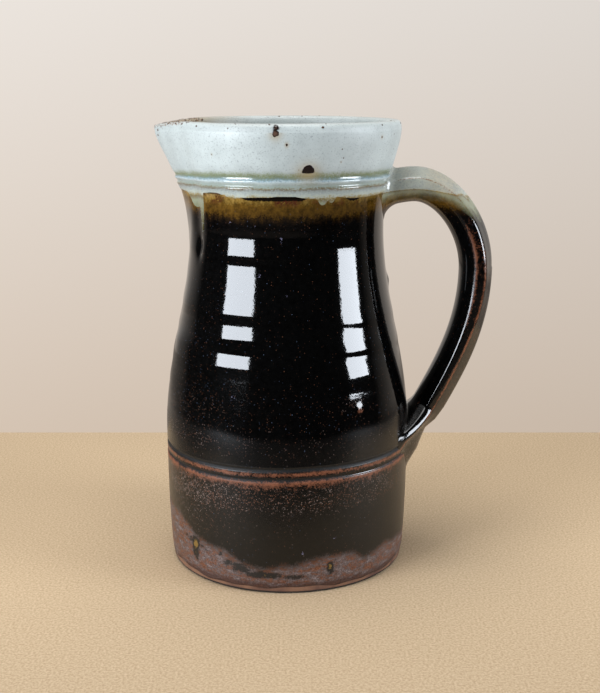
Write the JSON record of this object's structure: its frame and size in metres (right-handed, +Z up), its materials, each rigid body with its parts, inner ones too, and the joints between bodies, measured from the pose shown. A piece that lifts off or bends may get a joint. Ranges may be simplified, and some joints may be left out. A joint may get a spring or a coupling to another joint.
{
  "type": "jug",
  "caption": "Hand-thrown stoneware jug with a pulled spout, a strap handle, a dark iron glaze and a pale glazed rim, for pouring liquids.",
  "frame": {"origin": "centre of the flat foot, on the jug's axis, where it stands", "axes": "+Z up along the jug's axis, -X towards the spout, +X towards the handle"},
  "size_m": [0.1641, 0.1226, 0.22],
  "materials": {
    "clay": "bare fired stoneware, sandy and matt",
    "dark_glaze": "glossy black iron glaze breaking to rust on edges",
    "pale_glaze": "satin pale grey-green ash glaze with iron specks",
    "inside_glaze": "satin pale liner glaze"
  },
  "bodies": {
    "root": {"thrown_body": "clay", "handle": "clay", "tenmoku_glaze": "dark_glaze", "rim_glaze": "pale_glaze", "liner_glaze": "inside_glaze"}
  },
  "joints": []
}
